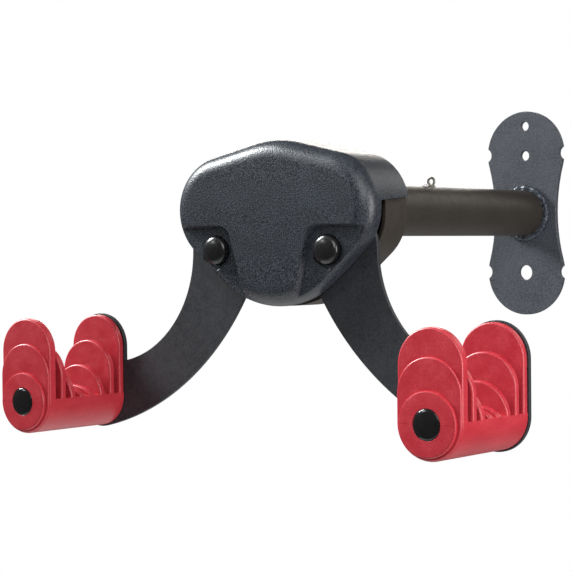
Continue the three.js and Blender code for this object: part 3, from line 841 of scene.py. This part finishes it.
def make_wall_tube():
    ends = out_range("wall_tube")
    tube = rounded_ring(TUBE_R - TUBE_WALL, TUBE_R, *ends, 0.4 * MM, steps=120)
    holes = cut(
        upright_rod(PIN_HOLE_R, 0, TUBE_R + OVERRUN, middle_out("ring_pin")),
        upright_rod(STOP_HOLE_R, 0, TUBE_R + OVERRUN, middle_out("stop_screw")),
    )
    stand_in("wall_tube", tube, "tube_steel", holes)


def make_welds():
    for node, radius in (("wall_weld_bead", TUBE_R), ("spigot_weld_bead", SPIGOT_R)):
        back, front = out_range(node)
        stand_in(node, weld_bead(radius, front - back, back), "weld", sharp=50 * DEG)


def make_head_spigot():
    ends = out_range("head_spigot")
    spigot = rounded_ring(SPIGOT_R - SPIGOT_WALL, SPIGOT_R, *ends, 0.4 * MM)
    stand_in("head_spigot", spigot, "zinc_steel")


def make_ring_pin():
    low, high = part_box("ring_pin")
    from_wall = middle_out("ring_pin")
    seat = TUBE_R + SEAT_GAP
    shank_r, flange_r, flange_t = 2.5 * MM, 3.4 * MM, 0.7 * MM
    eye_r, wire_r = 2.75 * MM, 0.95 * MM
    eye_rise = high.z - eye_r - wire_r
    turns, bends = 48, 16
    points = []
    for i in range(turns):
        angle = 2 * pi * i / turns
        for k in range(bends):
            bend = 2 * pi * k / bends
            reach = eye_r + wire_r * cos(bend)
            x, y = reach * cos(angle), eye_rise + reach * sin(angle)
            points.append((x, y, from_wall + wire_r * sin(bend)))
    shank = upright_rod(shank_r, low.z, seat + flange_t / 2, from_wall, 0.3 * MM)
    flange = upright_rod(flange_r, seat, seat + flange_t, from_wall)
    eye = points, hoop_faces(bends, turns)
    # The ring pin wears the darker copy of the zinc, a painted shade.
    stand_in("ring_pin", eye, "zinc_steel", joined(shank, flange), material=RING_ZINC_PAINTED_SHADE)


def make_stop_screw():
    low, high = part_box("stop_screw")
    seat = TUBE_R + SEAT_GAP
    head_r, shank_r = 2 * MM, 1.5 * MM
    head_side = (high.z - seat) * 0.45
    profile = [
        (0, low.z), (shank_r, low.z), (shank_r, seat), (head_r, seat),
        *dome(head_r, seat + head_side, high.z, 6), (0, high.z),
    ]
    screw = stood_up(turned(profile, steps=40), middle_out("stop_screw"))
    stand_in("stop_screw", screw, "zinc_steel")


# Head


def make_head_bracket():
    back, rim = out_range("head_bracket")
    inside = back + BRACKET_T
    insets, rises = quarter_bend(BRACKET_BEND, 5)
    bend = zip(insets, back + rises)
    brim = [(inset, rim - fall) for inset, fall in lip_profile(BRACKET_T, BRACKET_LIP)]
    rises, insets = quarter_bend(BRACKET_INNER_BEND, 5)
    inner_bend = zip(BRACKET_T + insets, inside + rises)
    cup = loft(head_outline(1.5 * MM, BRACKET_INSET), [*bend, *brim, *inner_bend])
    holes = [(SPIGOT_R + SEAT_GAP, (0, 0))]
    holes += [(PIVOT_HOLE_R, axis_of(f"{side}_pivot_cap")) for side in SIDES]
    holes += [(SCREW_HOLE_R, axis_of(node)) for node in COVER_SCREWS]
    rods = [rounded_rod(r, back - OVERRUN, inside + OVERRUN, at=at) for r, at in holes]
    stand_in("head_bracket", cup, "tube_steel", cut(*rods))


def depth_inside(points, outline):
    """How far each point lies inside a closed outline. Outside it is negative."""
    step = np.roll(outline, -1, axis=0) - outline
    depths = []
    for chunk in np.array_split(points, max(1, len(points) // 2000)):
        gap = chunk[:, None, :] - outline[None]
        along = np.clip(np.sum(gap * step, axis=2) / np.sum(step * step, axis=1), 0, 1)
        near = norm(gap - along[:, :, None] * step, axis=2).min(axis=1)
        above = gap[:, :, 1] < 0
        crosses = above != np.roll(above, -1, axis=1)
        level = np.where(step[:, 1] == 0, 1, step[:, 1])
        left_of = gap[:, :, 0] < step[:, 0] * gap[:, :, 1] / level
        inside = np.sum(crosses & left_of, axis=1) % 2 == 1
        depths.append(np.where(inside, near, -near))
    return np.concatenate(depths)


def soft_min(a, b, blend):
    overlap = np.maximum(blend - np.abs(a - b), 0) / blend
    return np.minimum(a, b) - overlap ** 2 * blend / 4


def eased(share):
    return share * share * (3 - 2 * share)


def edge_fillet(inset, radius, face):
    """How far out a rounded edge lies at an inset."""
    inner = np.maximum(radius - inset, 0)
    return face - radius + np.sqrt(np.maximum(radius ** 2 - inner ** 2, 0))


# The cover's front and inside, as distances out over points seen from the front

POCKET = pocket_outline()
PIVOTS = [np.array(axis_of(f"{side}_pivot_cap")) for side in SIDES]
HEXES = [hexagon(pivot, RECESS_R) for pivot in PIVOTS]


def pocket_depths(points):
    """How far points lie inside the right pocket and inside the left one."""
    return [depth_inside(points * (side, 1), POCKET) for side in (1, -1)]


def pivot_gaps(points):
    """How far points lie from the nearer pivot."""
    return np.min([norm(points - pivot, axis=-1) for pivot in PIVOTS], axis=0)


def pocket_level(points, grow, face):
    """The height that the two pockets leave, before the edge fillet."""
    depth = np.maximum(*pocket_depths(points))
    slope = face - POCKET_DEPTH * (depth + grow) / POCKET_SLOPE
    floor = face - POCKET_DEPTH
    return -soft_min(-slope, -floor, POCKET_BLEND)


def cover_front(points, inset):
    edge = edge_fillet(inset, COVER_EDGE_R, COVER_FACE)
    out = soft_min(edge, pocket_level(points, 0, COVER_FACE), EDGE_BLEND)
    out -= FACE_CROWN * ((points[:, 1] - FACE_CROWN_RISE) / CHIN_DROP) ** 2
    for pivot, hexagonal in zip(PIVOTS, HEXES):
        share = np.clip(depth_inside(points, hexagonal) / RECESS_SLANT, 0, 1)
        fade = np.clip((pivot[1] + RECESS_TOP - points[:, 1]) / RECESS_FADE, 0, 1)
        out -= RECESS_DEPTH * fade * eased(share)
        from_hole = norm(points - pivot, axis=1) - CAP_HOLE_R
        past = np.clip(CAP_HOLE_EDGE - from_hole, 0, CAP_HOLE_EDGE)
        out -= CAP_HOLE_EDGE - np.sqrt(CAP_HOLE_EDGE ** 2 - past ** 2)
    return out


def cover_inside(points, inset):
    face = COVER_FACE - COVER_WALL
    ridge = edge_fillet(inset - COVER_WALL, COVER_EDGE_R - COVER_WALL, face)
    return np.minimum(ridge, pocket_level(points, COVER_WALL, face))


def bands(outline, distances):
    """Copies of an outline, moved inwards by distances in millimetres."""
    out_step = outward(outline)
    return [outline - out_step * distance for distance in np.array(distances) * MM]


def face_points(ring):
    """Points for the cover's face inside a ring: close together at its features only."""
    near = []
    for band in bands(evenly_spaced(POCKET, 0.8 * MM), POCKET_BANDS):
        near.extend(band * (side, 1) for side in (-1, 1))
    for pivot, hexagonal in zip(PIVOTS, HEXES):
        near.extend(bands(evenly_spaced(hexagonal, 0.7 * MM), HEX_BANDS))
        near.extend(circle(pivot, CAP_HOLE_R + out * MM, CAP_HOLE_STEP) for out in CAP_HOLE_BANDS)
    near.extend(bands(ring[::3], FACE_BANDS))
    pitch = 2.2 * MM
    across = np.arange(-HEAD_HALF_W, HEAD_HALF_W, pitch)
    up = np.arange(-CHIN_DROP, PEAK_RISE, pitch)
    grid = np.array([(x + (j % 2) * pitch / 2, y) for j, y in enumerate(up) for x in across])
    middle, reach = 1.4 * MM, 4.2 * MM  # of the bands at the pockets
    off_bands = np.min([np.abs(d - middle) for d in pocket_depths(grid)], axis=0) > reach
    off_hexes = pivot_gaps(grid) > RECESS_R + 1.5 * MM
    points = np.vstack((*near, grid[off_bands & off_hexes]))
    inner = depth_inside(points, ring) > 0.25 * MM
    clear = pivot_gaps(points) > CAP_HOLE_R + 0.05 * MM
    points = points[inner & clear]
    cells = np.round(points / (0.22 * MM)).astype(int)  # to leave out all but one point in each
    return points[np.sort(np.unique(cells, axis=0, return_index=True)[1])]


def cover_rings(outline):
    """Rings up the cover's sides, as (points, out): down inside, round the lip, up outside."""
    hood_back = out_range("front_cover")[0]
    share = np.clip((HOOD_LINE + HOOD_CORNER - outline[:, 1]) / (2 * HOOD_CORNER), 0, 1)
    lip = hood_back + (COVER_LIP - hood_back) * eased(share)
    out_step = outward(outline)
    inner_r = COVER_EDGE_R - COVER_WALL
    last_inset = COVER_EDGE_R * (1 - cos(COVER_EDGE_ANGLES[-1] * DEG))
    inner_last = acos(1 - (last_inset - COVER_WALL) / inner_r)
    rings = []
    for angle in np.linspace(inner_last, 0, 9):
        inset = COVER_WALL + inner_r * (1 - cos(angle))
        ring = outline - out_step * inset
        rings.append((ring, cover_inside(ring, inset)))
    for inset, rise in reversed(lip_profile(COVER_WALL, COVER_LIP_EDGE)):
        rings.append((outline - out_step * inset, lip + rise))
    for angle in COVER_EDGE_ANGLES:
        inset = COVER_EDGE_R * (1 - cos(angle * DEG))
        ring = outline - out_step * inset
        rings.append((ring, cover_front(ring, inset)))
    return rings


def lifted(spots, out):
    return [(x, y, z) for (x, y), z in zip(spots, out)]


def neighbours(loop):
    return list(zip(loop, loop[1:] + loop[:1]))


def without_loose_points(points, faces):
    used = sorted({k for face in faces for k in face})
    place = {k: i for i, k in enumerate(used)}
    return [points[k] for k in used], [tuple(place[k] for k in face) for face in faces]


def cover_shell():
    """The cover's closed shell: walls, fillet and face outside, and the same again inside."""
    outline = head_outline(0.6 * MM)
    count = len(outline)
    rings = cover_rings(outline)
    points = [point for ring in rings for point in lifted(*ring)]
    faces = side_faces(0, count, len(rings))

    # The face, outside and inside, over one set of triangles
    ring = rings[-1][0]
    holes = [circle(pivot, CAP_HOLE_R, CAP_HOLE_STEP) for pivot in PIVOTS]
    loops, first = [], 0
    for loop in (ring, *holes):
        loops.append(list(range(first, first + len(loop))))
        first += len(loop)
    flat = [Vector(p / MM) for p in np.vstack((ring, *holes, face_points(ring)))]
    fixed = [edge for loop in loops for edge in neighbours(loop)]
    inside_only = 1
    found = delaunay_2d_cdt(flat, fixed, [loops[0]], inside_only, 1e-5)
    triangles, sources = found[2:4]
    spots = np.array([(v.x, v.y) for v in found[0]]) * MM
    inset = depth_inside(spots, evenly_spaced(outline, 2 * MM))
    outer = list(range(len(points), len(points) + len(spots)))
    points += lifted(spots, cover_front(spots, inset))
    inner = list(range(len(points), len(points) + len(spots)))
    points += lifted(spots, cover_inside(spots, inset))
    place_of = {source[0]: k for k, source in enumerate(sources) if source}
    for place in loops[0]:
        inner[place_of[place]] = place
        outer[place_of[place]] = (len(rings) - 1) * count + place
    for triangle in triangles:
        if pivot_gaps(spots[list(triangle)].mean(axis=0)) > CAP_HOLE_R:
            faces.extend(tuple(layer[k] for k in triangle) for layer in (outer, inner))
    for loop in loops[1:]:
        for a, b in neighbours([place_of[k] for k in loop]):
            faces.append((outer[a], outer[b], inner[b], inner[a]))
    return without_loose_points(points, faces)


def make_front_cover():
    inside = out_range("head_bracket")[0] + BRACKET_T
    post_top = COVER_FACE - 1.2 * MM
    posts = [
        rounded_rod(POST_R, inside + SEAT_GAP, post_top, at=axis_of(node)) for node in COVER_SCREWS
    ]
    bores = [
        rounded_rod(SCREW_HOLE_R, inside, out_range(node)[1] + 2 * MM, at=axis_of(node))
        for node in COVER_SCREWS
    ]
    steps = joined(*posts) + cut(*bores)
    stand_in("front_cover", cover_shell(), "cover_plastic", steps, sharp=38 * DEG)


def make_cover_screws():
    head_r, shank_r, head_h, head_side = 4 * MM, 2 * MM, 2.6 * MM, 0.6 * MM
    slot_half_l, slot_half_t, slot_depth = 2.1 * MM, 0.45 * MM, 1.3 * MM
    slots = rectangle(slot_half_l, slot_half_t), rectangle(slot_half_t, slot_half_l)
    for node in COVER_SCREWS:
        back, tip = out_range(node)
        at = axis_of(node)
        seat = back + head_h
        profile = [
            (0, back), *dome(head_r, seat - head_side, back, 7)[::-1],
            (head_r, seat), (shank_r, seat), (shank_r, tip - shank_r), (0, tip),
        ]
        cross = [slab(slot + at, back - MM, back + slot_depth, 0.1 * MM) for slot in slots]
        stand_in(node, turned(profile, at, 48), "zinc_steel", cut(*cross))


# Arms, pivots and their hardware


def make_arm(side):
    node = f"{side}_arm_plate"
    pivot = axis_of(f"{side}_pivot_cap")
    tab = cradle_offset() * (SIDES[side], 1)
    holes = [
        circle((0, 0), ARM_PIVOT_HOLE_R),
        circle(tab, CRADLE_HOLE_R),
        circle(tab + (0, TAB_RISE), PEG_R + SEAT_GAP),
    ]
    outline = arm_outline(SIDES[side]) + pivot
    plate = slab(outline, *out_range(node), ARM_EDGE, [hole + pivot for hole in holes])
    stand_in(node, plate, "arm_steel")


def make_pivot_bolt(side):
    node = f"{side}_pivot_bolt"
    at = axis_of(f"{side}_pivot_cap")
    back, front = out_range(node)
    across, head_h, shank_r = 16 * MM, 6.4 * MM, 5 * MM
    pitch, thread_length = 1.5 * MM, 24 * MM
    head, steps = chamfered_hex(across, front - head_h, front, at)
    shank = threaded_rod(shank_r, back, front - head_h / 2, at, pitch, thread_length)
    stand_in(node, head, "zinc_steel", steps + joined(shank))


def make_cradle_bolt(side):
    node = f"{side}_cradle_bolt"
    at = axis_of(f"{side}_cradle_plug")
    back, front = out_range(node)
    head_r, head_h, shank_r = 6.5 * MM, 5 * MM, 4 * MM
    pitch, thread_length = 1.25 * MM, 22 * MM
    socket_half_across, socket_depth = 3.4 * MM, 3 * MM
    head = rounded_rod(head_r, front - head_h, front, 0.6 * MM, at)
    shank = threaded_rod(shank_r, back, front - head_h / 2, at, pitch, thread_length)
    socket = hex_rod(socket_half_across, front - socket_depth, front + MM, at)
    stand_in(node, head, "zinc_steel", joined(shank) + cut(socket))


HEX_NUTS = (  # label, width across flats, hole's radius and what it shares its axis with
    ("pivot_nut", 16 * MM, PIVOT_HOLE_R, "pivot_cap"),
    ("cradle_nut", 13 * MM, CRADLE_HOLE_R, "cradle_plug"),
)
WASHERS = (  # hole's radius, material slot and labels
    (PIVOT_HOLE_R, "zinc_steel", ("pivot_back_washer", "pivot_spacer")),
    (PIVOT_HOLE_R, "fibre", ("pivot_back_friction_washer", "pivot_front_friction_washer")),
    (PIVOT_HOLE_R, "zinc_steel", ("pivot_front_washer", "pivot_lock_washer")),
    (CRADLE_HOLE_R, "zinc_steel", ("cradle_bolt_washer", "cradle_nut_washer")),
)


def make_nuts_and_washers(side):
    for label, across, hole, on in HEX_NUTS:
        node = f"{side}_{label}"
        nut, steps = chamfered_hex(across, *out_range(node), axis_of(f"{side}_{on}"), hole)
        stand_in(node, nut, "zinc_steel", steps)
    for hole, slot, labels in WASHERS:
        for node in (f"{side}_{label}" for label in labels):
            ends = out_range(node)
            washer = rounded_ring(hole, half_width(node), *ends, 0.2 * MM, axis_of(node))
            stand_in(node, washer, slot)


def make_pivot_cap(side):
    node = f"{side}_pivot_cap"
    at = axis_of(node)
    back, crown = out_range(node)
    crown_h, crown_power, bore_half_across = 4.1 * MM, 0.8, 8.15 * MM
    shoulder = crown - crown_h
    profile = button_profile(half_width(node), back, shoulder, crown, 28, crown_power)
    bore = hex_rod(bore_half_across, back - OVERRUN, shoulder, at)
    stand_in(node, turned(profile, at, 96), "cap_plastic", cut(bore))


# Cradles


def make_cradle(side):
    node = f"{side}_cradle"
    centre = np.array(axis_of(f"{side}_cradle_plug"))
    back = out_range(f"{side}_arm_plate")[1] + SEAT_GAP
    front = out_range(node)[1]
    middle_front = front - FRONT_STEP_T
    fin_front = middle_front - MIDDLE_STEP_T
    top = np.array(((FIN_HALF_W, BELLY_TOP), (-FIN_HALF_W, BELLY_TOP)))
    belly = closed(top, half_oval(FIN_HALF_W, BELLY_DROP, pi)) + centre
    belly = slab(belly, back + HAIR, fin_front - HAIR, BELLY_EDGE, steps=4)
    added = []
    for i, share in enumerate(FIN_RISE_SHARES):
        fin_back = back + FIN_PITCH * i
        fin_end = fin_front if i == len(FIN_RISE_SHARES) - 1 else fin_back + FIN_T
        outline = fin_outline(FIN_TOP_RISE * share, 2 * HAIR) + centre
        added.append(slab(outline, fin_back, fin_end, FIN_EDGE, steps=4))
    root = fin_front - FIN_T / 2
    middle = fin_outline(MIDDLE_STEP_RISE, MIDDLE_STEP_INSET) + centre
    added.append(slab(middle, root, middle_front, MIDDLE_STEP_EDGE, steps=4))
    added.append(rounded_rod(FRONT_STEP_R, root, front, FRONT_STEP_EDGE, centre, 120))
    peg_at = centre + (0, TAB_RISE)
    added.append(rounded_rod(PEG_R, back - PEG_LENGTH, back + FIN_T / 2, 0.4 * MM, peg_at, 40))

    floor, past = front - PLUG_HOLE_DEPTH, front + OVERRUN
    drops, widths = quarter_bend(PLUG_HOLE_EDGE, 5)
    bore = [
        (0, floor), (PLUG_HOLE_R, floor), *zip(PLUG_HOLE_R + widths, front - drops),
        (PLUG_HOLE_R + PLUG_HOLE_EDGE, past), (0, past),
    ]
    removed = [
        turned(bore, centre, 96),
        rounded_rod(CRADLE_HOLE_R, back - OVERRUN, floor + OVERRUN, 0.1 * MM, centre),
    ]
    seam = rectangle(FIN_HALF_W + MM, SEAM_HALF_W) + centre
    for face, above in ((fin_front, SEAM_DEPTH), (middle_front, SEAM_DEPTH), (front, MM)):
        removed.append(slab(seam, face - SEAM_DEPTH, face + above, 0))
    stand_in(node, belly, "cradle_plastic", joined(*added) + cut(*removed))


def make_plug(side):
    node = f"{side}_cradle_plug"
    back, crown = out_range(node)
    dome_h = 1.5 * MM
    profile = button_profile(half_width(node), back, crown - dome_h, crown, 18)
    stand_in(node, turned(profile, axis_of(node), 96), "cap_plastic", material=PLUG_GLOSS)


# Camera, surroundings and lights

CAMERA_PLACE = Vector((0.78223, -1.38172, -0.02702))
CAMERA_YAW = 36.875 * DEG
CAMERA_PITCH = -1.171 * DEG
CAMERA_ROLL = -0.561 * DEG
SENSOR_W = 36
LENS = 117.896
FLOOR_HALF = 2.5
FLOOR_LEVEL = -2.0
LIGHT_TARGET = Vector((0, -0.33, -0.02))
LIGHTS = (  # name, direction from the rack, distance, width, height, strength per area, tint
    ("key", (-0.785, -0.195, 0.575), 5.6, 1.15, 2.0, 88.0, (0.96, 0.99, 1.0)),
    ("window", (-0.60, -0.70, 0.36), 5.0, 0.7, 0.7, 12.0, (0.98, 1.0, 1.0)),
    ("upper_right", (0.64, -0.64, 0.50), 1.0, 0.6, 0.6, 4.6),
    ("right", (0.98, -0.04, 0.04), 1.2, 0.3, 0.7, 15.5, (0.99, 0.97, 0.97)),
    ("over_near", (0.1, -0.42, 0.67), 0.8, 0.7, 0.5, 0.4),
    ("back_right", (0.26, 0.85, 0.44), 2.0, 1.0, 0.8, 1.6, (1.0, 0.95, 0.88)),
    ("back_wall", (-0.53, 0.82, 0.25), 2.0, 1.1, 0.5, 8.0, (1.0, 0.95, 0.88)),
)


def make_camera():
    data = bpy.data.cameras.new("camera")
    data.sensor_width = SENSOR_W
    data.lens = LENS
    camera = placed("camera", data)
    camera.matrix_world = (
        Matrix.Translation(CAMERA_PLACE) @ Matrix.Rotation(CAMERA_YAW, 4, "Z")
        @ Matrix.Rotation(90 * DEG + CAMERA_PITCH, 4, "X") @ Matrix.Rotation(CAMERA_ROLL, 4, "Z")
    )
    bpy.context.scene.camera = camera


def make_world():
    """A dim warm room that lights the rack, and white where the camera sees past it."""
    world = bpy.data.worlds.new("studio")
    bpy.context.scene.world = world
    world.use_nodes = True
    tree = world.node_tree
    room = tree.nodes["Background"]
    fill(tree, room, {"Color": (1.0, 0.985, 0.96, 1), "Strength": 0.10})
    backdrop = add_node(tree, "Background", {"Color": (1, 1, 1, 1), "Strength": 1.0})
    seen = add_node(tree, "LightPath", {})["Is Camera Ray"]
    shares = {"Fac": seen, 1: room.outputs["Background"], 2: backdrop["Background"]}
    mixed = add_node(tree, "MixShader", shares)
    fill(tree, tree.nodes["World Output"], {"Surface": mixed["Shader"]})
    bpy.context.scene.view_settings.view_transform = "Standard"


def make_floor():
    mesh = bpy.data.meshes.new("floor")
    corners = [(x, y, FLOOR_LEVEL) for x, y in rectangle(FLOOR_HALF, FLOOR_HALF)]
    mesh.from_pydata(corners, [], [(0, 1, 2, 3)])
    finish = Finish("floor_paint", 0.8)
    finish.paint(finish.noise(300 * MM), (0.80, 0.80, 0.79), (0.86, 0.86, 0.85))
    mesh.materials.append(finish.material)
    floor = placed("floor", mesh)


def soft_light(name, towards, distance, width, height, strength, tint=(1, 1, 1)):
    """A rectangular light seen from the rack in a given direction."""
    data = bpy.data.lights.new(name, "AREA")
    data.shape = "RECTANGLE"
    data.size = width
    data.size_y = height
    data.energy = strength * width * height * pi
    data.color = tint
    towards = Vector(towards).normalized()
    light = placed(name, data)
    light.location = LIGHT_TARGET + towards * distance
    light.rotation_mode = "QUATERNION"
    light.rotation_quaternion = towards.to_track_quat("Z", "Y")


make_camera()
make_world()
make_floor()
for light in LIGHTS:
    soft_light(*light)
make_wall_plate()
make_wall_tube()
make_welds()
make_head_spigot()
make_ring_pin()
make_stop_screw()
make_head_bracket()
make_front_cover()
make_cover_screws()
for side_name in SIDES:
    make_arm(side_name)
    make_pivot_bolt(side_name)
    make_cradle_bolt(side_name)
    make_nuts_and_washers(side_name)
    make_pivot_cap(side_name)
    make_cradle(side_name)
    make_plug(side_name)
